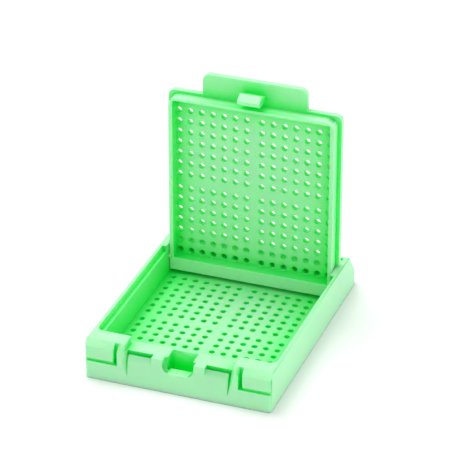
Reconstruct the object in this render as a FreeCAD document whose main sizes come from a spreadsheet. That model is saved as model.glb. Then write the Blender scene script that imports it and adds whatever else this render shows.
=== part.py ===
import FreeCAD, Part

"""Tissue cassette: a perforated tray (base) and its hinged, perforated cover (lid).

Both pieces are modelled closed, in millimetres, with x across the cassette and 0 in its middle,
y running back from the front face and z up from the table. The spreadsheet Sizes holds every
driving dimension and Layout holds what follows from them. At rest the lid stands open.
"""
import os
import re

import Sketcher
from FreeCAD import Vector

SIZES = {
    # Outside of the tray.
    "tray_width": 28.5,
    "tray_length": 40.0,
    "tray_height": 6.2,
    "slope_run": 4.2,
    "slope_foot": 0.7,
    "rear_corner_radius": 1.8,
    "front_corner_radius": 0.6,
    "lip_round": 0.2,
    # Floor, walls and ledge.
    "floor_top": 1.1,
    "floor_underside": 0.25,
    "lip_thickness": 0.55,
    "ledge_width": 0.6,
    "front_depth": 3.5,
    "front_ledge": 0.5,
    "cavity_corner_radius": 1.2,
    # Cover plate, rim and finger tab.
    "lid_thickness": 0.95,
    "seat_gap": 0.1,
    "side_gap": 0.1,
    "rim_height": 1.8,
    "rim_thickness": 0.65,
    "front_rim_thickness": 0.5,
    "rim_corner_radius": 1.3,
    "rim_inner_radius": 0.3,
    "flange_corner_radius": 1.0,
    "tab_width": 16.3,
    "tab_setback": 0.25,
    "tab_gap": 0.15,
    "tab_corner_radius": 1.1,
    # Latch hook under the tab: a stem with a barb that points forward.
    "hook_width": 3.5,
    "hook_setoff": 1.0,
    "hook_stem": 0.9,
    "hook_barb": 0.5,
    "hook_length": 2.85,
    "hook_nose": 0.3,
    "hook_lead": 1.05,
    "barb_height": 0.45,
    "barb_droop": 0.3,
    "hook_play": 0.2,
    # Hinge.
    "hinge_setback": 8.75,
    "hinge_height": 3.9,
    "pin_radius": 0.6,
    "pin_play": 0.05,
    "pin_skin": 0.3,
    "pin_end_gap": 0.1,
    "barrel_gap": 0.1,
    "barrel_length": 2.1,
    "barrel_round": 1.8,
    "rise_gap": 0.15,
    "swing_gap": 0.3,
    "open_angle": 90.0,
    # Strip behind the hinge and the hollow under the writing face.
    "rear_wall": 0.8,
    "strip_thickness": 0.9,
    "slope_wall": 1.2,
    "hollow_wall": 1.3,
    "strip_slot_width": 0.6,
    "strip_slot_length": 4.4,
    "strip_slot_pitch": 5.6,
    "strip_slot_count": 5,
    # Front wall: bevel, leaning middle panel between two flutes, slots, scoop and corner blocks.
    "bevel_height": 1.1,
    "bevel_depth": 1.1,
    "lean_start": 1.75,
    "lean_ratio": 0.133,
    "panel_half": 7.65,
    "flute_start": 1.5,
    "flute_taper": 0.36,
    "lip_bevel_start": 4.0,
    "lip_bevel_depth": 0.3,
    "lip_depth": 0.85,
    "lip_top": 4.85,
    "latch_slot_width": 0.6,
    "side_slot_inner": 4.1,
    "side_slot_outer": 8.0,
    "scoop_half": 2.4,
    "scoop_height": 3.15,
    "scoop_rise": 0.16,
    "scoop_radius": 1.1,
    "hook_pocket_floor": 2.0,
    "hook_ramp": 0.85,
    "block_inner": 9.25,
    "block_line_height": 2.9,
    "block_line_width": 0.4,
    "block_line_depth": 0.35,
    "block_inset": 0.15,
    "block_notch_width": 0.6,
    "block_notch_depth": 1.1,
    # Perforation.
    "hole_diameter": 0.85,
    "hole_pitch": 1.785,
    "cross_gap": 0.62,
    "along_gap": 0.68,
    "floor_margin": 1.8,
    "lid_margin": 0.45,
    # Reach of a cutting shape past the surface that it cuts.
    "overcut": 1.0,
}

LAYOUT = {
    "half_width": "tray_width / 2",
    "slope_start": "tray_length - slope_run",
    "hinge_along": "tray_length - hinge_setback",
    "lip_inner": "half_width - lip_thickness",
    "cavity_half": "lip_inner - ledge_width",
    "cavity_front": "front_depth + front_ledge",
    "ledge_height": "tray_height - lid_thickness - seat_gap",
    "flange_half": "lip_inner - side_gap",
    "rim_half": "cavity_half - side_gap",
    "flange_front": "front_depth + tab_gap",
    "rim_front": "cavity_front + side_gap",
    "plate_bottom": "tray_height - lid_thickness",
    "rim_bottom": "plate_bottom - rim_height",
    "barrel_front": "hinge_along + barrel_gap",
    "barrel_rear": "barrel_front + barrel_length",
    "over_pin": "tray_height - hinge_height",
    "plate_over_pin": "plate_bottom - hinge_height",
    "overhang_reach": "over_pin + rise_gap",
    "overhang_end": "hinge_along - overhang_reach",
    "ear_reach": "sqrt(overhang_reach ^ 2 + plate_over_pin ^ 2 - over_pin ^ 2)",
    "ear_start": "hinge_along - ear_reach + side_gap",
    "round_back": "barrel_rear - hinge_along - barrel_round",
    "round_up": "over_pin - barrel_round",
    "swing": "sqrt(round_back ^ 2 + round_up ^ 2) + barrel_round",
    "pocket_rear": "hinge_along + swing + swing_gap",
    "pin_end": "half_width - pin_skin",
    "tab_half": "tab_width / 2",
    "recess_half": "tab_half + tab_gap",
    "hook_half": "hook_width / 2",
    "hook_rear": "rim_front - hook_setoff",
    "hook_front": "hook_rear - hook_stem",
    "hook_tip": "hook_front - hook_barb",
    "hook_foot": "plate_bottom - hook_length",
    "barb_low": "hook_foot + hook_lead",
    "barb_top": "barb_low + barb_height",
    "pocket_half": "hook_half + hook_play",
    "pocket_front": "hook_tip - hook_play",
    "pocket_back": "hook_rear + hook_play",
    "hollow_front": "pocket_rear + rear_wall",
    "slope_rate": "(tray_length - slope_start) / (tray_height - slope_foot)",
    "above": "tray_height + overcut",
    # Perforation: as many holes as fit inside the lid's rim and in front of the hinge barrel.
    "hole_span": "rim_half - rim_thickness - (hole_diameter + cross_gap) / 2",
    "half_across": "floor(hole_span / hole_pitch + 0.5)",
    "holes_across": "2 * half_across",
    "first_column": "-(cross_gap / 2 + hole_pitch * (half_across - 0.5))",
    "last_row": "barrel_front - hole_diameter / 2 - along_gap",
    "floor_first": "cavity_front + floor_margin",
    "floor_rows": "floor((last_row - floor_first) / hole_pitch) + 1",
    "lid_first": "rim_front + front_rim_thickness + lid_margin",
    "lid_rows": "floor((last_row - lid_first) / hole_pitch) + 1",
}

WORDS = re.compile(r"[a-z_]{4,}")
SIDES = (("right", "%s"), ("left", "-%s"))


def bound(expression):
    """The expression with every name turned into a reference to its spreadsheet cell."""

    def cell(match):
        word = match.group()
        if word in SIZES:
            return "Sizes." + word
        return "Layout." + word if word in LAYOUT else word

    return WORDS.sub(cell, str(expression))


def make_sheet(doc, name, cells, prefix):
    """A spreadsheet with one aliased cell for each entry of cells."""
    sheet = doc.addObject("Spreadsheet::Sheet", name)
    for row, (alias, value) in enumerate(cells.items(), 1):
        sheet.set("A%d" % row, alias)
        sheet.set("B%d" % row, prefix + bound(value))
        sheet.setAlias("B%d" % row, alias)
    return sheet


def number(doc, expression):
    """The present value of an expression, as a plain number."""
    return float(doc.Sizes.evalExpression(bound(expression)))


def plane(body, role):
    """The body's own origin plane or axis with the given role."""
    return next(item for item in body.Origin.OriginFeatures if item.Role == role)


def box(body, kind, name, x, y, z):
    """Add (Additive) or cut (Subtractive) a box between pairs of expressions, low and high."""
    feature = body.newObject("PartDesign::%sBox" % kind, name)
    for size, axis, (low, high) in zip(("Length", "Width", "Height"), "xyz", (x, y, z)):
        feature.setExpression(size, bound("(%s) - (%s)" % (high, low)))
        feature.setExpression("Placement.Base." + axis, bound(low))
    return feature


def outline(body, name, role, offset, points):
    """A closed polygon sketch on one of the body's planes, each corner tied to two expressions."""
    sketch = body.newObject("Sketcher::SketchObject", name)
    sketch.AttachmentSupport = [(plane(body, role), "")]
    sketch.MapMode = "FlatFace"
    sketch.setExpression("AttachmentOffset.Base.z", bound(offset))
    corners = [Vector(*(number(body.Document, value) for value in point), 0) for point in points]
    for start, end in zip(corners, corners[1:] + corners[:1]):
        sketch.addGeometry(Part.LineSegment(start, end))
    for index, point in enumerate(points):
        following = (index + 1) % len(points)
        sketch.addConstraint(Sketcher.Constraint("Coincident", index, 2, following, 1))
        for kind, value in zip(("DistanceX", "DistanceY"), point):
            size = number(body.Document, value)
            place = sketch.addConstraint(Sketcher.Constraint(kind, -1, 1, index, 1, size))
            sketch.setExpression("Constraints[%d]" % place, bound(value))
    return sketch


def prism(body, kind, name, low, high, points):
    """Pad or Pocket a side profile (y, z) across the cassette from x = low to x = high."""
    sketch = outline(body, name + "_profile", "YZ_Plane", low, points)
    feature = body.newObject("PartDesign::" + kind, name)
    feature.Profile = sketch
    feature.setExpression("Length", bound("(%s) - (%s)" % (high, low)))
    feature.Reversed = kind == "Pocket"
    return feature


def lean_towards(pocket, direction):
    """Make a Pocket cut along a direction of its own, its length still counted square."""
    pocket.UseCustomVector = True
    pocket.AlongSketchNormal = True
    pocket.Direction = direction


def leaning_pocket(body, name, ratio, bottom, points):
    """Pocket a plan (x, y), given at the height above, down to bottom, coming forward by ratio."""
    pocket = body.newObject("PartDesign::Pocket", name)
    pocket.Profile = outline(body, name + "_plan", "XY_Plane", "above", points)
    lean_towards(pocket, Vector(0, -number(body.Document, ratio), -1))
    pocket.setExpression("Length", bound("above - " + bottom))
    return pocket


def ordered(side, inner, outer):
    """The span of a piece on one side, from low x to high x."""
    return (inner, outer) if side == "right" else (outer, inner)


def cross_pin(body, kind, name, radius, low, high):
    """Add or cut a cylinder along x on the hinge axis, from x = low to x = high."""
    feature = body.newObject("PartDesign::%sCylinder" % kind, name)
    feature.Placement.Rotation = FreeCAD.Rotation(Vector(0, 1, 0), 90)
    feature.setExpression("Radius", bound(radius))
    feature.setExpression("Height", bound("(%s) - (%s)" % (high, low)))
    for axis, value in zip("xyz", (low, "hinge_along", "hinge_height")):
        feature.setExpression("Placement.Base." + axis, bound(value))
    return feature


def round_edges(body, name, radius, chosen):
    """Fillet the edges of the body's tip for which chosen(edge) is true."""
    body.Document.recompute()
    tip = body.Tip
    names = ["Edge%d" % place for place, edge in enumerate(tip.Shape.Edges, 1) if chosen(edge)]
    if not names:
        raise RuntimeError("no edge found for " + name)
    feature = body.newObject("PartDesign::Fillet", name)
    feature.Base = (tip, names)
    feature.setExpression("Radius", bound(radius))
    return feature


def near(value, target):
    """Whether two lengths agree, but for rounding in the shapes."""
    return abs(value - target) < 1e-4


def upright_at(x, y):
    """A test for the vertical edges that stand at x (either side of the middle) and y."""

    def test(edge):
        low, high = edge.Vertexes[0].Point, edge.Vertexes[-1].Point
        upright = near(low.x, high.x) and near(low.y, high.y) and not near(low.z, high.z)
        return upright and near(abs(low.x), x) and near(low.y, y)

    return test


def perforate(body, first_row, rows, low, high):
    """Cut the grid of round holes: two blocks each way with a wider web between them."""
    doc = body.Document
    hole = body.newObject("PartDesign::SubtractiveCylinder", body.Label + "_hole")
    hole.setExpression("Radius", bound("hole_diameter / 2"))
    hole.setExpression("Height", bound("(%s) - (%s) + 2 * overcut" % (high, low)))
    places = ("first_column", first_row, "(%s) - overcut" % low)
    for axis, value in zip("xyz", places):
        hole.setExpression("Placement.Base." + axis, bound(value))
    doc.recompute()
    pattern = body.newObject("PartDesign::LinearPattern", body.Label + "_holes")
    pattern.Originals = [hole]
    pattern.Direction = (plane(body, "X_Axis"), [""])
    pattern.Direction2 = (plane(body, "Y_Axis"), [""])
    pattern.Mode = "Spacing"
    pattern.Mode2 = "Spacing"
    pattern.setExpression("Offset", bound("hole_pitch"))
    pattern.setExpression("Offset2", bound("hole_pitch"))
    pattern.setExpression("Occurrences", bound("holes_across"))
    pattern.setExpression("Occurrences2", bound(rows))
    across, along = (round(number(doc, count)) for count in ("holes_across", rows))
    pattern.Occurrences = across
    pattern.Occurrences2 = along
    pattern.Spacings = webs(across, across // 2, number(doc, "hole_pitch + cross_gap"))
    pattern.Spacings2 = webs(along, (along + 1) // 2, number(doc, "hole_pitch + along_gap"))
    body.Tip = pattern
    return pattern


def webs(count, before, wide):
    """Spacings for a pattern: the common pitch (-1) but for one wide step after `before` holes."""
    return [wide if place == before else -1.0 for place in range(1, count)]


def make_base(doc):
    """The tray, one moulding."""
    body = doc.addObject("PartDesign::Body", "base")
    full = ("-half_width", "half_width")
    cut = "Subtractive"

    # Block with its upright corners rounded, then the writing face sloped off the back.
    box(body, "Additive", "tray_block", full, ("0", "tray_length"), ("0", "tray_height"))
    half = number(doc, "half_width")
    length = number(doc, "tray_length")
    height = number(doc, "tray_height")

    def long_top_edge(edge):
        start, end = edge.Vertexes[0].Point, edge.Vertexes[-1].Point
        on_top = near(start.z, height) and near(end.z, height)
        return on_top and near(abs(start.x), half) and near(start.x, end.x)

    round_edges(body, "rear_corners", "rear_corner_radius", upright_at(half, length))
    round_edges(body, "front_corners", "front_corner_radius", upright_at(half, 0))
    past = ("-half_width - overcut", "half_width + overcut")
    prism(body, "Pocket", "writing_slope", *past, [
        ("slope_start - overcut * slope_rate", "above"),
        ("tray_length", "slope_foot"),
        ("tray_length + overcut", "slope_foot"),
        ("tray_length + overcut", "above"),
    ])

    # Bevel along the top of the front wall.
    prism(body, "Pocket", "front_bevel", *past, [
        ("-overcut", "tray_height - bevel_height"),
        ("0", "tray_height - bevel_height"),
        ("bevel_depth", "tray_height"),
        ("bevel_depth", "above"),
        ("-overcut", "above"),
    ])

    # Scoop in the middle of the front wall, which rises to the rear.
    scoop_foot = "scoop_height - scoop_rise * overcut"
    scoop = body.newObject("PartDesign::Pocket", "scoop")
    scoop.Profile = outline(body, "scoop_front", "XZ_Plane", "overcut", [
        ("-scoop_half", scoop_foot),
        ("scoop_half", scoop_foot),
        ("scoop_half", "above"),
        ("-scoop_half", "above"),
    ])
    lean_towards(scoop, Vector(0, 1, number(doc, "scoop_rise")))
    scoop.setExpression("Length", bound("pocket_front + overcut"))
    half_scoop = number(doc, "scoop_half")
    bevel_foot = number(doc, "tray_height - bevel_height")

    def scoop_corner(edge):
        start, end = edge.Vertexes[0].Point, edge.Vertexes[-1].Point
        lengthwise = near(start.x, end.x) and not near(start.y, end.y)
        return lengthwise and near(abs(start.x), half_scoop) and max(start.z, end.z) < bevel_foot

    round_edges(body, "scoop_corners", "scoop_radius", scoop_corner)
    round_edges(body, "lip_rounding", "lip_round", long_top_edge)

    # Inside: specimen well with the hinge pocket behind it, and the ledge that seats the lid.
    well = ("-cavity_half", "cavity_half")
    box(body, cut, "well", well, ("cavity_front", "pocket_rear"), ("floor_top", "above"))
    round_edges(body, "well_corners", "cavity_corner_radius",
                upright_at(number(doc, "cavity_half"), number(doc, "cavity_front")))
    seat = ("-lip_inner", "lip_inner")
    box(body, cut, "lid_seat", seat, ("front_depth", "ear_start"), ("ledge_height", "above"))
    round_edges(body, "seat_corners", "flange_corner_radius",
                upright_at(number(doc, "lip_inner"), number(doc, "front_depth")))
    box(body, cut, "under_floor", well, ("lip_thickness + ledge_width", "pocket_rear"),
        ("-overcut", "floor_underside"))

    # Behind the hinge: a slotted strip over the hollow under the writing face.
    hollow_top = "tray_height - strip_thickness"
    hollow_back = "slope_start + (tray_height - (%s)) * slope_rate - slope_wall"
    hollow_half = "half_width - hollow_wall"
    prism(body, "Pocket", "rear_hollow", "-(%s)" % hollow_half, hollow_half, [
        ("hollow_front", "-overcut"),
        (hollow_back % "-overcut", "-overcut"),
        (hollow_back % hollow_top, hollow_top),
        ("hollow_front", hollow_top),
    ])
    count = int(number(doc, "strip_slot_count"))
    for place in range(count):
        middle = "strip_slot_pitch * (%g)" % (place - (count - 1) / 2)
        box(body, cut, "strip_slot_%d" % (place + 1),
            (middle + " - strip_slot_length / 2", middle + " + strip_slot_length / 2"),
            ("hollow_front", "hollow_front + strip_slot_width"),
            (hollow_top + " - overcut / 2", "above"))

    # Front wall: recess for the tab, and the middle panel that leans back between two flutes.
    box(body, cut, "tab_recess", ("-recess_half", "recess_half"),
        ("-overcut", "front_depth + overcut / 2"), ("ledge_height", "above"))
    head_lean = "lean_ratio * (above - lean_start)"
    leaning_pocket(body, "leaning_panel", "lean_ratio", "lean_start", [
        ("-panel_half", "-overcut"),
        ("panel_half", "-overcut"),
        ("panel_half", head_lean),
        ("-panel_half", head_lean),
    ])
    head_flute = "flute_taper * (above - flute_start)"
    for side, sign in SIDES:
        leaning_pocket(body, side + "_flute", "flute_taper", "flute_start", [
            (sign % "panel_half", head_flute),
            (sign % "panel_half", "-overcut"),
            (sign % ("(panel_half + %s + overcut)" % head_flute), "-overcut"),
        ])

    # Latch slots, each behind a bevelled lip.
    for side, sign in SIDES:
        across = ordered(side, sign % "side_slot_inner", sign % "side_slot_outer")
        prism(body, "Pocket", side + "_lip", *across, [
            ("-overcut", "lip_bevel_start"),
            ("lip_bevel_depth", "lip_bevel_start"),
            ("lip_depth", "lip_top"),
            ("lip_depth", "above"),
            ("-overcut", "above"),
        ])
        box(body, cut, side + "_slot", across, ("lip_depth", "lip_depth + latch_slot_width"),
            ("floor_top", "above"))

    # Pocket behind the scooped lip, which takes the hook, and its ramp.
    pocket = ("-pocket_half", "pocket_half")
    box(body, cut, "hook_pocket", pocket, ("pocket_front", "pocket_back"),
        ("hook_pocket_floor", "above"))
    prism(body, "Pocket", "hook_ramp_face", *pocket, [
        ("pocket_back - hook_play / 2", "ledge_height - hook_ramp"),
        ("pocket_back", "ledge_height - hook_ramp"),
        ("cavity_front - hook_play", "ledge_height"),
        ("cavity_front - hook_play", "above"),
        ("pocket_back - hook_play / 2", "above"),
    ])

    # Corner blocks: upper part set back, with a line below it and a notch at its inner end.
    top_of_line = "block_line_height + block_line_width"
    for side, sign in SIDES:
        inner, outer = sign % "block_inner", sign % "(half_width + overcut)"
        face = ordered(side, inner, outer)
        box(body, cut, side + "_block_inset", face, ("-overcut", "block_inset"),
            (top_of_line, "above"))
        box(body, cut, side + "_block_line", face, ("-overcut", "block_line_depth"),
            ("block_line_height", top_of_line))
        notch = ordered(side, inner, sign % "(block_inner + block_notch_width)")
        box(body, cut, side + "_block_notch", notch, ("-overcut", "block_notch_depth"),
            ("block_line_height", "above"))

    # Blind hinge sockets in both side walls, and the holes in the floor.
    cross_pin(body, cut, "hinge_sockets", "pin_radius + pin_play", "-pin_end", "pin_end")
    perforate(body, "floor_first", "floor_rows", "0", "floor_top")
    return body


def make_lid(doc):
    """The cover, one moulding, modelled closed and then turned open about its pins."""
    body = doc.addObject("PartDesign::Body", "lid")
    add, cut = "Additive", "Subtractive"
    plate = ("plate_bottom", "tray_height")

    # Flange that rests on the ledge, with its front corners rounded.
    box(body, add, "flange", ("-flange_half", "flange_half"), ("flange_front", "overhang_end"),
        plate)
    round_edges(body, "flange_corners", "flange_corner_radius",
                upright_at(number(doc, "flange_half"), number(doc, "flange_front")))

    # Rim that drops into the well; its solid rear end is the hinge barrel.
    rim = ("-rim_half", "rim_half")
    box(body, add, "rim", rim, ("rim_front", "barrel_rear"), ("rim_bottom", "tray_height"))
    round_edges(body, "rim_corners", "rim_corner_radius",
                upright_at(number(doc, "rim_half"), number(doc, "rim_front")))
    barrel_rear = number(doc, "barrel_rear")
    top = number(doc, "tray_height")

    def rear_top_edge(edge):
        start, end = edge.Vertexes[0].Point, edge.Vertexes[-1].Point
        on_top = near(start.z, top) and near(end.z, top)
        return on_top and near(start.y, barrel_rear) and near(end.y, barrel_rear)

    round_edges(body, "barrel_rounding", "barrel_round", rear_top_edge)
    inner_half = "rim_half - rim_thickness"
    inner_front = "rim_front + front_rim_thickness"
    box(body, cut, "inside_rim", ("-(%s)" % inner_half, inner_half),
        (inner_front, "barrel_front"), ("rim_bottom - overcut", "plate_bottom"))
    round_edges(body, "inside_corners", "rim_inner_radius",
                upright_at(number(doc, inner_half), number(doc, inner_front)))

    # Finger tab.
    box(body, add, "tab", ("-tab_half", "tab_half"), ("tab_setback", "flange_front + overcut"),
        plate)
    round_edges(body, "tab_corners", "tab_corner_radius",
                upright_at(number(doc, "tab_half"), number(doc, "tab_setback")))

    # Latch hook: it hangs from the tab in front of the rim, and its barb points forward.
    root_height = "plate_bottom + lid_thickness / 2"
    prism(body, "Pad", "hook", "-hook_half", "hook_half", [
        ("hook_rear", root_height),
        ("hook_front", root_height),
        ("hook_front", "barb_top - barb_droop"),
        ("hook_tip", "barb_top"),
        ("hook_tip", "barb_low"),
        ("hook_rear - hook_stem + hook_nose / 2", "hook_foot"),
        ("hook_rear - hook_nose", "hook_foot"),
        ("hook_rear", "hook_foot + hook_nose"),
    ])

    # Hinge pins on the outer faces of the rim.
    root = "rim_half - rim_thickness / 2"
    reach = "pin_end - pin_end_gap"
    cross_pin(body, add, "right_pin", "pin_radius", root, reach)
    cross_pin(body, add, "left_pin", "pin_radius", "-(%s)" % reach, "-(%s)" % root)
    perforate(body, "lid_first", "lid_rows", "plate_bottom", "tray_height")
    return body


def place(base, lid):
    """Put the middle of the tray's footprint on the origin and stand the lid open."""
    shift = "-tray_length / 2"
    base.setExpression("Placement.Base.y", bound(shift))
    turned_y = "(hinge_along * cos(open_angle * 1 deg) + hinge_height * sin(open_angle * 1 deg))"
    turned_z = "(hinge_height * cos(open_angle * 1 deg) - hinge_along * sin(open_angle * 1 deg))"
    lid.Placement.Rotation = FreeCAD.Rotation(Vector(-1, 0, 0), 1)
    lid.setExpression("Placement.Rotation.Angle", bound("open_angle * 1 deg"))
    lid.setExpression("Placement.Base.y", bound(shift + " + hinge_along - " + turned_y))
    lid.setExpression("Placement.Base.z", bound("hinge_height - " + turned_z))


def check(doc):
    """Stop with a plain message if anything failed to build or a feature changed nothing."""
    for item in doc.Objects:
        if {"Invalid", "Error"} & set(item.State):
            raise RuntimeError("%s did not build: %s" % (item.Label, item.State))
    for body in (item for item in doc.Objects if item.TypeId == "PartDesign::Body"):
        if body.Shape.isNull() or not body.Shape.isValid() or len(body.Shape.Solids) != 1:
            raise RuntimeError(body.Label + " is not one valid solid")
        solids = [item for item in body.Group if item.TypeId != "Sketcher::SketchObject"]
        for before, after in zip(solids, solids[1:]):
            if abs(after.Shape.Volume - before.Shape.Volume) < 1e-4:
                raise RuntimeError("%s changes nothing in %s" % (after.Label, body.Label))


def main():
    doc = FreeCAD.newDocument("tissue_cassette")
    make_sheet(doc, "Sizes", SIZES, "")
    make_sheet(doc, "Layout", LAYOUT, "=")
    doc.recompute()
    bodies = [make_base(doc), make_lid(doc)]
    place(*bodies)
    doc.recompute()
    check(doc)
    os.makedirs("parts", exist_ok=True)
    for body in bodies:
        body.Shape.exportStep("parts/%s.step" % body.Label)
        print(body.Label, "volume mm3:", round(body.Shape.Volume, 1))


main()
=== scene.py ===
"""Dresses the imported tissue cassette: one green acetal tray and its lid, standing open on a pale floor.

Lengths are in metres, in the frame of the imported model: +Z up, +Y from the latch to the writing face.
Sizes of the mouldings are given in millimetres and turned to metres where they are used.
"""

import logging
import math
from dataclasses import dataclass
from enum import Enum

import bmesh
import bpy
from mathutils import Matrix, Vector
from mathutils.kdtree import KDTree

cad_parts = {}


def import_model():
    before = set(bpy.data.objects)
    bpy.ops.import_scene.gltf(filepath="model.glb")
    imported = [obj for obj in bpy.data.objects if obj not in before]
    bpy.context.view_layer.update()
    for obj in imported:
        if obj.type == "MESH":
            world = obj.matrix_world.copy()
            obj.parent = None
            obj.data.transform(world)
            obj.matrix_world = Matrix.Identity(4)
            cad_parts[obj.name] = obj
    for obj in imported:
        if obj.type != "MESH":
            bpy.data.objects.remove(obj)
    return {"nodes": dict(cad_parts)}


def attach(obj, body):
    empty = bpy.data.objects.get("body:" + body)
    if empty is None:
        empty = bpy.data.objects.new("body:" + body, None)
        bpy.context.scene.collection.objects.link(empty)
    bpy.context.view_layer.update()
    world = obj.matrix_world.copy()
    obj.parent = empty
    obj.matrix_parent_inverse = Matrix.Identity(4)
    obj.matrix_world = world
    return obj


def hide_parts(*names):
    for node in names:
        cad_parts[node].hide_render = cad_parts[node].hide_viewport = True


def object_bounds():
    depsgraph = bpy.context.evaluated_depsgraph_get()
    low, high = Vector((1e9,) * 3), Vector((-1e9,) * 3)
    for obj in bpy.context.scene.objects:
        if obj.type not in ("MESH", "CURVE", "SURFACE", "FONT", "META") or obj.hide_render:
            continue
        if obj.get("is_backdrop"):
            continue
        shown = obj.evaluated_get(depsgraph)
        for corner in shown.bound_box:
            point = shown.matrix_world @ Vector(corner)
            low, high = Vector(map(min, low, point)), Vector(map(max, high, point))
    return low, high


LOG = logging.getLogger("cassette")
MM = 0.001


def srgb(code: str) -> tuple[float, float, float, float]:
    """Turn an sRGB hex colour into the linear RGBA that shaders take.

    Args:
        code: six hex digits, such as "7fd894".

    Returns:
        Linear red, green, blue and an alpha of 1.
    """
    channels = [int(code[i : i + 2], 16) / 255 for i in (0, 2, 4)]
    linear = [c / 12.92 if c <= 0.04045 else ((c + 0.055) / 1.055) ** 2.4 for c in channels]
    return (*linear, 1.0)


def add_node(tree: bpy.types.NodeTree, kind: str, links: dict | None = None, **settings) -> bpy.types.Node:
    """Add one node with its settings, values and incoming links.

    Args:
        tree: the node tree that gets it.
        kind: Blender's name of the node type.
        links: input name or index to an output socket, or to a plain value.
        settings: attributes of the node itself.

    Returns:
        The new node.
    """
    node = tree.nodes.new(kind)
    for name, value in settings.items():
        setattr(node, name, value)
    for name, value in (links or {}).items():
        if isinstance(value, bpy.types.NodeSocket):
            tree.links.new(value, node.inputs[name])
        else:
            node.inputs[name].default_value = value
    return node


class Surface(Enum):
    """How a face of the mould was finished, which sets the texture of the plastic."""

    POLISHED = "polished"
    SPARK_ERODED = "spark_eroded"


@dataclass(frozen=True)
class Acetal:
    """Injection-moulded acetal (POM): a waxy, slightly translucent green plastic.

    Light goes some way into it before it comes out again, so open faces look pale and milky. The
    colour also holds painted shade: corners, bores and faces near other faces are painted a deeper green.

    Attributes:
        surface: finish of the mould behind it.
        pale: colour of an open face under white light.
        painted_shade_colour: painted shade, the colour given where other faces close a face in.
        roughness: gloss of the skin.
        grain_mm: size of the skin's fine unevenness.
        grain_depth_mm: its height.
        own_shade_mm: how near a face of the same piece has to be for shade to be painted.
        shade_mm: how near a face of any piece, the floor included, has to be for shade to be painted.
        own_shade_gate: share of open directions, within own_shade_mm, at which painted shade starts and
            ends.
        shade_gate: the same within shade_mm.
        index: refractive index of the plastic.
        gloss: strength of the reflection off the skin.
        scatter: how far red, green and blue travel inside, as shares of scatter_mm.
        scatter_mm: the longest of those distances.
    """

    surface: Surface
    pale: str = "b0f1be"
    painted_shade_colour: str = "00f056"
    roughness: float = 0.38
    grain_mm: float = 0.55
    grain_depth_mm: float = 0.006
    own_shade_mm: float = 9.0
    shade_mm: float = 18.0
    own_shade_gate: tuple[float, float] = (0.93, 0.80)
    shade_gate: tuple[float, float] = (0.84, 0.60)
    index: float = 1.48
    gloss: float = 0.35
    scatter: tuple[float, float, float] = (0.12, 1.0, 0.3)
    scatter_mm: float = 0.8

    def build(self) -> bpy.types.Material:
        """Return the node material."""
        material = bpy.data.materials.new(f"acetal_{self.surface.value}")
        material.use_nodes = True
        tree = material.node_tree
        tree.nodes.clear()
        place = add_node(tree, "ShaderNodeTexCoord")
        grain = add_node(
            tree,
            "ShaderNodeTexNoise",
            {"Vector": place.outputs["Object"], "Scale": 1 / (self.grain_mm * MM), "Detail": 3.0},
        )
        bump = add_node(
            tree,
            "ShaderNodeBump",
            {"Height": grain.outputs["Fac"], "Distance": self.grain_depth_mm * MM, "Strength": 1.0},
        )
        # Painted shade: ambient occlusion of this piece alone, and of all pieces with the floor, each give a
        # share of closed-in directions; their product is how much shade is painted.
        shares = []
        gates = ((True, self.own_shade_mm, self.own_shade_gate), (False, self.shade_mm, self.shade_gate))
        for own, reach, (open_at, closed_at) in gates:
            openness = add_node(
                tree,
                "ShaderNodeAmbientOcclusion",
                {"Distance": reach * MM},
                samples=3,
                only_local=own,
            )
            share = add_node(
                tree,
                "ShaderNodeMapRange",
                {"Value": openness.outputs["AO"], "From Min": open_at, "From Max": closed_at},
                interpolation_type="SMOOTHSTEP",
            )
            shares.append(share.outputs["Result"])
        painted_shade = add_node(tree, "ShaderNodeMath", dict(enumerate(shares)), operation="MULTIPLY")
        # Painted shade: the pale colour is mixed towards the deep, more saturated green by that share, in
        # corners, bores and under the lid.
        colour = add_node(
            tree,
            "ShaderNodeMix",
            {"Factor": painted_shade.outputs[0], 6: srgb(self.pale), 7: srgb(self.painted_shade_colour)},
            data_type="RGBA",
        )
        shader = add_node(
            tree,
            "ShaderNodeBsdfPrincipled",
            {
                "Base Color": colour.outputs[2],
                "Roughness": self.roughness,
                "IOR": self.index,
                "Specular IOR Level": self.gloss,
                "Subsurface Weight": 1.0,
                "Subsurface Radius": self.scatter,
                "Subsurface Scale": self.scatter_mm * MM,
                "Normal": bump.outputs["Normal"],
            },
        )
        add_node(tree, "ShaderNodeOutputMaterial", {"Surface": shader.outputs["BSDF"]})
        return material


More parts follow.
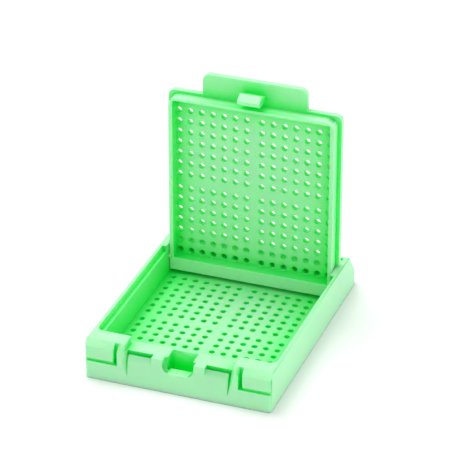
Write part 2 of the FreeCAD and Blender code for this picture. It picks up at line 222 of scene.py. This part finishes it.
@dataclass(frozen=True)
class DrainHoles:
    """The grid of round holes through one wall, in two blocks each way with a wider web between them.

    The grid is laid out with x across the cassette and y running back, before it is turned and moved.

    Attributes:
        rows: rows of holes from front to back.
        wall: thickness of the wall that they go through.
        place: middle of the first row, half way through the wall.
        turn: rotation about X, in degrees.
        columns: holes in a row.
        pitch: spacing in a block.
        cross_web: extra step between the left and right blocks.
        along_web: extra step between the front and back blocks.
        radius: bore of a hole.
        mouth: radius of the soft edge round both ends of a hole.
    """

    rows: int
    wall: float
    place: tuple[float, float, float]
    turn: float = 0.0
    columns: int = 14
    pitch: float = 1.785
    cross_web: float = 0.62
    along_web: float = 0.68
    radius: float = 0.432
    mouth: float = 0.09

    SIDES = 24
    ROUND_STEPS = 2

    def centres(self) -> list[Vector]:
        """Return the middle of every hole, half way through the wall, in metres."""
        turn = Matrix.Rotation(math.radians(self.turn), 3, "X")
        spots = []
        for row in range(self.rows):
            along = row * self.pitch + (self.along_web if row >= self.front_rows else 0.0)
            for column in range(self.columns):
                side = column + 0.5 - self.columns / 2
                across = side * self.pitch + math.copysign(self.cross_web / 2, side)
                spots.append((Vector(self.place) + turn @ Vector((across, along, 0.0))) * MM)
        return spots

    @property
    def front_rows(self) -> int:
        """Rows in the front block."""
        return (self.rows + 1) // 2

    @property
    def axis(self) -> Vector:
        """Direction in which the holes run."""
        return Matrix.Rotation(math.radians(self.turn), 3, "X") @ Vector((0.0, 0.0, 1.0))

    def tree(self) -> bpy.types.NodeTree:
        """Make the tree that cuts the holes with rounded mouths.

        Returns:
            A geometry node tree with the sizes as its named inputs.
        """
        tree = bpy.data.node_groups.new("drain_holes", "GeometryNodeTree")
        face = tree.interface
        face.new_socket("Geometry", in_out="INPUT", socket_type="NodeSocketGeometry")
        face.new_socket("Geometry", in_out="OUTPUT", socket_type="NodeSocketGeometry")
        for name in ("Columns", "Rows", "Front Rows"):
            face.new_socket(name, in_out="INPUT", socket_type="NodeSocketInt")
        for name in ("Pitch", "Cross Web", "Along Web", "Radius", "Mouth", "Wall", "Turn"):
            face.new_socket(name, in_out="INPUT", socket_type="NodeSocketFloat")
        face.new_socket("Place", in_out="INPUT", socket_type="NodeSocketVector")
        face.new_socket("Material", in_out="INPUT", socket_type="NodeSocketMaterial")
        given = add_node(tree, "NodeGroupInput").outputs

        def maths(operation: str, *values) -> bpy.types.NodeSocket:
            """Return the result of one Math node."""
            return add_node(tree, "ShaderNodeMath", dict(enumerate(values)), operation=operation).outputs[0]

        # One point for each hole: its column is the remainder of its number, its row the whole part.
        number = add_node(tree, "GeometryNodeInputIndex").outputs[0]
        column = maths("MODULO", number, given["Columns"])
        row = maths("FLOOR", maths("DIVIDE", maths("ADD", number, 0.5), given["Columns"]))
        middle = maths("DIVIDE", given["Columns"], 2.0)
        right = maths("GREATER_THAN", column, maths("SUBTRACT", middle, 0.5))
        back = maths("GREATER_THAN", row, maths("SUBTRACT", given["Front Rows"], 0.5))
        from_middle = maths("MULTIPLY", maths("SUBTRACT", maths("ADD", column, 0.5), middle), given["Pitch"])
        half_web = maths("MULTIPLY", maths("SUBTRACT", right, 0.5), given["Cross Web"])
        across = maths("ADD", from_middle, half_web)
        along = maths(
            "ADD", maths("MULTIPLY", row, given["Pitch"]), maths("MULTIPLY", back, given["Along Web"])
        )
        centre = add_node(tree, "ShaderNodeCombineXYZ", {"X": across, "Y": along}).outputs[0]
        count = maths("MULTIPLY", given["Columns"], given["Rows"])
        points = add_node(tree, "GeometryNodePoints", {"Count": count, "Position": centre})

        # The pin that is cut out: its rings stay narrow inside the wall and flare out at both faces.
        half = maths("DIVIDE", given["Wall"], 2.0)
        rings = 2 * (self.ROUND_STEPS + 2)
        pin = add_node(
            tree,
            "GeometryNodeMeshCylinder",
            {"Vertices": self.SIDES, "Side Segments": rings - 1, "Radius": 1.0, "Depth": float(rings - 1)},
        )
        spot = add_node(tree, "GeometryNodeInputPosition").outputs[0]
        parts = add_node(tree, "ShaderNodeSeparateXYZ", {0: spot}).outputs
        step = maths("SUBTRACT", maths("ABSOLUTE", parts["Z"]), 0.5)
        bend = maths("MINIMUM", step, float(self.ROUND_STEPS))
        turned = maths("MULTIPLY", bend, math.pi / 2 / self.ROUND_STEPS)
        past = maths("MULTIPLY", maths("GREATER_THAN", step, self.ROUND_STEPS + 0.5), given["Mouth"])
        rise = maths("MULTIPLY", maths("SUBTRACT", maths("SINE", turned), 1.0), given["Mouth"])
        flare = maths("MULTIPLY", maths("SUBTRACT", 1.0, maths("COSINE", turned)), given["Mouth"])
        wide = maths("ADD", given["Radius"], flare)
        tall = maths("MULTIPLY", maths("SIGN", parts["Z"]), maths("ADD", maths("ADD", half, rise), past))
        ring = add_node(
            tree,
            "ShaderNodeCombineXYZ",
            {"X": maths("MULTIPLY", parts["X"], wide), "Y": maths("MULTIPLY", parts["Y"], wide), "Z": tall},
        ).outputs[0]
        tool = add_node(tree, "GeometryNodeSetPosition", {"Geometry": pin.outputs["Mesh"], "Position": ring})
        pins = add_node(
            tree, "GeometryNodeInstanceOnPoints", {"Points": points.outputs[0], "Instance": tool.outputs[0]}
        )
        lean = add_node(tree, "ShaderNodeCombineXYZ", {"X": given["Turn"]}).outputs[0]
        turn = add_node(
            tree,
            "GeometryNodeTransform",
            {"Geometry": pins.outputs[0], "Translation": given["Place"], "Rotation": lean},
        )
        cut = add_node(
            tree,
            "GeometryNodeMeshBoolean",
            {"Mesh 1": given["Geometry"], "Mesh 2": turn.outputs[0]},
            operation="DIFFERENCE",
            solver="MANIFOLD",
        )
        real = add_node(tree, "GeometryNodeRealizeInstances", {0: cut.outputs["Mesh"]})
        dressed = add_node(
            tree, "GeometryNodeSetMaterial", {"Geometry": real.outputs[0], "Material": given["Material"]}
        )
        add_node(tree, "NodeGroupOutput", {0: dressed.outputs[0]})
        return tree

    def cut(self, piece: bpy.types.Object, material: bpy.types.Material) -> None:
        """Cut the holes through a piece.

        Args:
            piece: the object whose mesh is replaced.
            material: finish of the result.
        """
        sizes = {
            "Columns": self.columns,
            "Rows": self.rows,
            "Front Rows": self.front_rows,
            "Pitch": self.pitch * MM,
            "Cross Web": self.cross_web * MM,
            "Along Web": self.along_web * MM,
            "Radius": self.radius * MM,
            "Mouth": self.mouth * MM,
            "Wall": self.wall * MM,
            "Turn": math.radians(self.turn),
            "Place": tuple(v * MM for v in self.place),
            "Material": material,
        }
        modifier = piece.modifiers.new("holes", "NODES")
        modifier.node_group = self.tree()
        for item in modifier.node_group.interface.items_tree:
            if item.in_out == "INPUT" and item.name in sizes:
                modifier[item.identifier] = sizes[item.name]
        bake_modifiers(piece)


def bake_modifiers(piece: bpy.types.Object) -> None:
    """Replace a piece's mesh with what its modifiers make of it, and remove them."""
    result = bpy.data.meshes.new_from_object(piece.evaluated_get(bpy.context.evaluated_depsgraph_get()))
    piece.modifiers.clear()
    piece.data = result


@dataclass
class Moulding:
    """One moulded piece of the cassette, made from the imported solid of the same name.

    Attributes:
        node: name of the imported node, and of the body that it rides on.
        holes: its drain holes.
        edge_round: radius of its outer edges.
    """

    node: str
    holes: DrainHoles
    edge_round: float = 0.085

    # Angles between neighbours: less than FLAT is one face, more than EDGE is an outer edge to round,
    # and more than CREASE is shaded sharp.
    FLAT = math.radians(0.8)
    EDGE = math.radians(40.0)
    CREASE = math.radians(50.0)
    # Millimetres: how far a point may lie off its place, and how near two points are the same one.
    SLACK = 0.01
    WELD = 0.001
    # Room that a face needs beside an edge before the edge is rounded, in widths of the rounding.
    ROOM = 2.2
    # Cosines: the least for a face that the holes open into, for shading it flat, and for texture.
    LEVEL = 0.999
    SQUARE = 0.9999
    FACING = 0.998

    def solid(self, source: bpy.types.Object) -> bpy.types.Object:
        """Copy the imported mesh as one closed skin, with its drain holes filled in.

        Args:
            source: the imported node.

        Returns:
            A linked object at the origin.
        """
        mesh = source.data.copy()
        mesh.name = f"{self.node}_moulding"
        work = bmesh.new()
        work.from_mesh(mesh)
        bmesh.ops.remove_doubles(work, verts=work.verts, dist=self.WELD * MM)
        bored = self.bored_faces(work)
        bmesh.ops.delete(work, geom=list(bored), context="FACES")
        rims = [edge for edge in work.edges if edge.is_boundary]
        bmesh.ops.holes_fill(work, edges=rims, sides=0)
        work.to_mesh(mesh)
        work.free()
        piece = bpy.data.objects.new(mesh.name, mesh)
        bpy.context.scene.collection.objects.link(piece)
        return piece

    def bored_faces(self, work: bmesh.types.BMesh) -> set[bmesh.types.BMFace]:
        """Return the walls of the drain holes and the flat faces that they open into."""
        axis = self.holes.axis
        reach = (self.holes.radius + self.SLACK) * MM
        half_wall = (self.holes.wall / 2 + self.SLACK) * MM
        centres = self.holes.centres()
        tree = KDTree(len(centres))
        for number, centre in enumerate(centres):
            tree.insert(centre, number)
        tree.balance()

        def in_bore(spot: Vector) -> bool:
            """Tell whether a point lies on the wall of a hole."""
            off = spot - tree.find(spot)[0]
            depth = off.dot(axis)
            return (off - axis * depth).length < reach and abs(depth) < half_wall

        bored = {face for face in work.faces if all(in_bore(vertex.co) for vertex in face.verts)}
        spread = [other for face in bored for edge in face.edges for other in edge.link_faces]
        while spread:
            face = spread.pop()
            if face not in bored and abs(face.normal.dot(axis)) > self.LEVEL:
                bored.add(face)
                spread += [other for edge in face.edges for other in edge.link_faces]
        return bored

    def round_edges(self, piece: bpy.types.Object) -> None:
        """Round the sharp outer edges, but not those of a narrow face or those that the tray stands on.

        Args:
            piece: the object to work on, with its drain holes filled.
        """
        work = bmesh.new()
        work.from_mesh(piece.data)
        bmesh.ops.dissolve_limit(work, angle_limit=self.FLAT, verts=work.verts, edges=work.edges)
        layer = work.edges.layers.float.new("bevel_weight_edge")
        width = self.edge_round * MM
        for edge in work.edges:
            stands = all(vertex.co.z < self.SLACK * MM for vertex in edge.verts)
            if not stands and edge.calc_face_angle_signed(0.0) > self.EDGE:
                room = min(self.room_beside(edge, face) for face in edge.link_faces)
                edge[layer] = 1.0 if room > self.ROOM * width else 0.0
        work.to_mesh(piece.data)
        work.free()
        bevel = piece.modifiers.new("edges", "BEVEL")
        bevel.width = width
        bevel.segments = 2
        bevel.limit_method = "WEIGHT"
        bevel.use_clamp_overlap = False
        bake_modifiers(piece)

    @staticmethod
    def room_beside(edge: bmesh.types.BMEdge, face: bmesh.types.BMFace) -> float:
        """Return how far a flat face runs back from one of its edges, square to the edge.

        Args:
            edge: an edge of the face.
            face: the face beside it.

        Returns:
            The least distance to another edge, from three places along this one.
        """
        loop = next(corner for corner in face.loops if corner.edge is edge)
        start, end = loop.vert.co, loop.link_loop_next.vert.co
        along = (end - start).normalized()
        inward = face.normal.cross(along)
        room = math.inf
        for spot in (start.lerp(end, share) for share in (0.1, 0.5, 0.9)):
            for other in face.edges:
                first, last = (vertex.co - spot for vertex in other.verts)
                before, after = first.dot(along), last.dot(along)
                if other is edge or before * after >= 0:
                    continue
                depth = first.lerp(last, before / (before - after)).dot(inward)
                if depth > 0:
                    room = min(room, depth)
        return room

    def flatten(self, piece: bpy.types.Object) -> None:
        """Shade the flat faces that the holes open into as flat right up to the mouths.

        Args:
            piece: the piece, shaded smooth.
        """
        normals = [corner.vector.copy() for corner in piece.data.corner_normals]
        for polygon in piece.data.polygons:
            if abs(polygon.normal.dot(self.holes.axis)) > self.SQUARE:
                for corner in polygon.loop_indices:
                    normals[corner] = polygon.normal.copy()
        piece.data.normals_split_custom_set(normals)

    def texture(self, piece: bpy.types.Object, material: bpy.types.Material, facing: Vector) -> None:
        """Give the faces that look one way a finish of their own.

        Args:
            piece: the finished piece.
            material: the finish.
            facing: the way that they look.
        """
        piece.data.materials.append(material)
        for polygon in piece.data.polygons:
            if polygon.normal.dot(facing.normalized()) > self.FACING:
                polygon.material_index = 1

    def build(self, source: bpy.types.Object, material: bpy.types.Material) -> bpy.types.Object:
        """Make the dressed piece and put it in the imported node's place.

        Args:
            source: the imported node.
            material: finish of the whole piece.

        Returns:
            The finished piece.
        """
        piece = self.solid(source)
        self.round_edges(piece)
        self.holes.cut(piece, material)
        for polygon in piece.data.polygons:
            polygon.use_smooth = True
        piece.data.set_sharp_from_angle(angle=self.CREASE)
        weighted = piece.modifiers.new("shading", "WEIGHTED_NORMAL")
        weighted.keep_sharp = True
        bake_modifiers(piece)
        self.flatten(piece)
        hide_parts(self.node)
        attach(piece, self.node)
        LOG.info("%s: %d faces", piece.name, len(piece.data.polygons))
        return piece


@dataclass
class Studio:
    """The pale floor, the soft lamps and the camera.

    Attributes:
        azimuth: degrees that the camera stands to the right of the cassette's front.
        elevation: degrees that it stands above it.
        distance: from the camera to the point that it aims at, in metres.
        lens: its focal length in millimetres.
        floor_size: side of the floor in metres.
        sky: strength of the light from all round.
    """

    azimuth: float = 20.15
    elevation: float = 29.1
    distance: float = 0.4127
    lens: float = 226.0
    floor_size: float = 6.0
    sky: float = 0.78

    def floor(self) -> bpy.types.Object:
        """Return the white floor under the cassette, marked as stage."""
        mesh = bpy.data.meshes.new("floor")
        half = self.floor_size / 2
        corners = [(-half, -half, 0), (half, -half, 0), (half, half, 0), (-half, half, 0)]
        mesh.from_pydata(corners, [], [(0, 1, 2, 3)])
        plane = bpy.data.objects.new("floor", mesh)
        bpy.context.scene.collection.objects.link(plane)
        material = bpy.data.materials.new("white_sweep")
        material.use_nodes = True
        shader = material.node_tree.nodes["Principled BSDF"]
        shader.inputs["Base Color"].default_value = srgb("f4f5f4")
        shader.inputs["Roughness"].default_value = 0.9
        shader.inputs["Specular IOR Level"].default_value = 0.0
        mesh.materials.append(material)
        plane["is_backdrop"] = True
        return plane

    def world(self) -> None:
        """Light the set from all round with a plain sky that the eye and every gloss see as white."""
        world = bpy.data.worlds.new("sky")
        bpy.context.scene.world = world
        world.use_nodes = True
        tree = world.node_tree
        tree.nodes.clear()
        path = add_node(tree, "ShaderNodeLightPath").outputs
        seen = path["Is Camera Ray"]
        for ray in ("Is Glossy Ray", "Is Transmission Ray"):
            seen = add_node(tree, "ShaderNodeMath", {0: seen, 1: path[ray]}, operation="MAXIMUM").outputs[0]
        strength = add_node(tree, "ShaderNodeMapRange", {"Value": seen, "To Min": self.sky, "To Max": 1.0})
        sky = add_node(
            tree, "ShaderNodeBackground", {"Color": (1, 1, 1, 1), "Strength": strength.outputs["Result"]}
        )
        add_node(tree, "ShaderNodeOutputWorld", {"Surface": sky.outputs[0]})

    def lamp(self, name: str, place: Vector, size: float, power: float) -> None:
        """Add one square soft box that faces the cassette.

        Args:
            name: the lamp's name.
            place: where it stands.
            size: its side.
            power: its power in watts.
        """
        data = bpy.data.lights.new(name, "AREA")
        data.size = size
        data.energy = power
        lamp = bpy.data.objects.new(name, data)
        lamp.location = place
        lamp.rotation_euler = (-place).to_track_quat("-Z", "Y").to_euler()
        bpy.context.scene.collection.objects.link(lamp)

    def camera(self, aim: Vector) -> bpy.types.Object:
        """Make the camera and aim it.

        Args:
            aim: the point in the middle of the picture.

        Returns:
            The camera.
        """
        across, up = math.radians(self.azimuth), math.radians(self.elevation)
        back = Vector((math.sin(across) * math.cos(up), -math.cos(across) * math.cos(up), math.sin(up)))
        data = bpy.data.cameras.new("camera")
        data.lens = self.lens
        data.clip_start, data.clip_end = 0.01, 20.0
        camera = bpy.data.objects.new("camera", data)
        turn = (-back).to_track_quat("-Z", "Y").to_matrix()
        camera.matrix_world = Matrix.Translation(aim + back * self.distance) @ turn.to_4x4()
        bpy.context.scene.collection.objects.link(camera)
        bpy.context.scene.camera = camera
        return camera


def main() -> None:
    """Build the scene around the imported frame."""
    logging.basicConfig(level=logging.INFO)
    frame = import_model()
    cad_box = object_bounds()
    polished = Acetal(Surface.POLISHED).build()
    floor_holes = DrainHoles(rows=14, wall=0.85, place=(0.0, -14.2, 0.675))
    lid_holes = DrainHoles(rows=15, wall=0.95, place=(0.0, 13.075, 30.1), turn=-90.0)
    tray = Moulding("base", floor_holes)
    cover = Moulding("lid", lid_holes)
    tray_piece = tray.build(frame["nodes"][tray.node], polished)
    matt = Acetal(Surface.SPARK_ERODED, roughness=0.62, grain_mm=0.3, grain_depth_mm=0.02).build()
    tray.texture(tray_piece, matt, facing=Vector((0.0, 5.5, 4.2)))
    cover.build(frame["nodes"][cover.node], polished)
    studio = Studio()
    studio.floor()
    studio.world()
    studio.lamp("overhead", Vector((-0.16, 0.10, 0.6)), 0.35, 2.0)
    studio.lamp("right_card", Vector((0.6, 0.05, 0.08)), 0.3, 0.5)
    studio.camera((cad_box[0] + cad_box[1]) / 2)
    bpy.context.scene.view_settings.view_transform = "Standard"


if __name__ == "__main__":
    main()
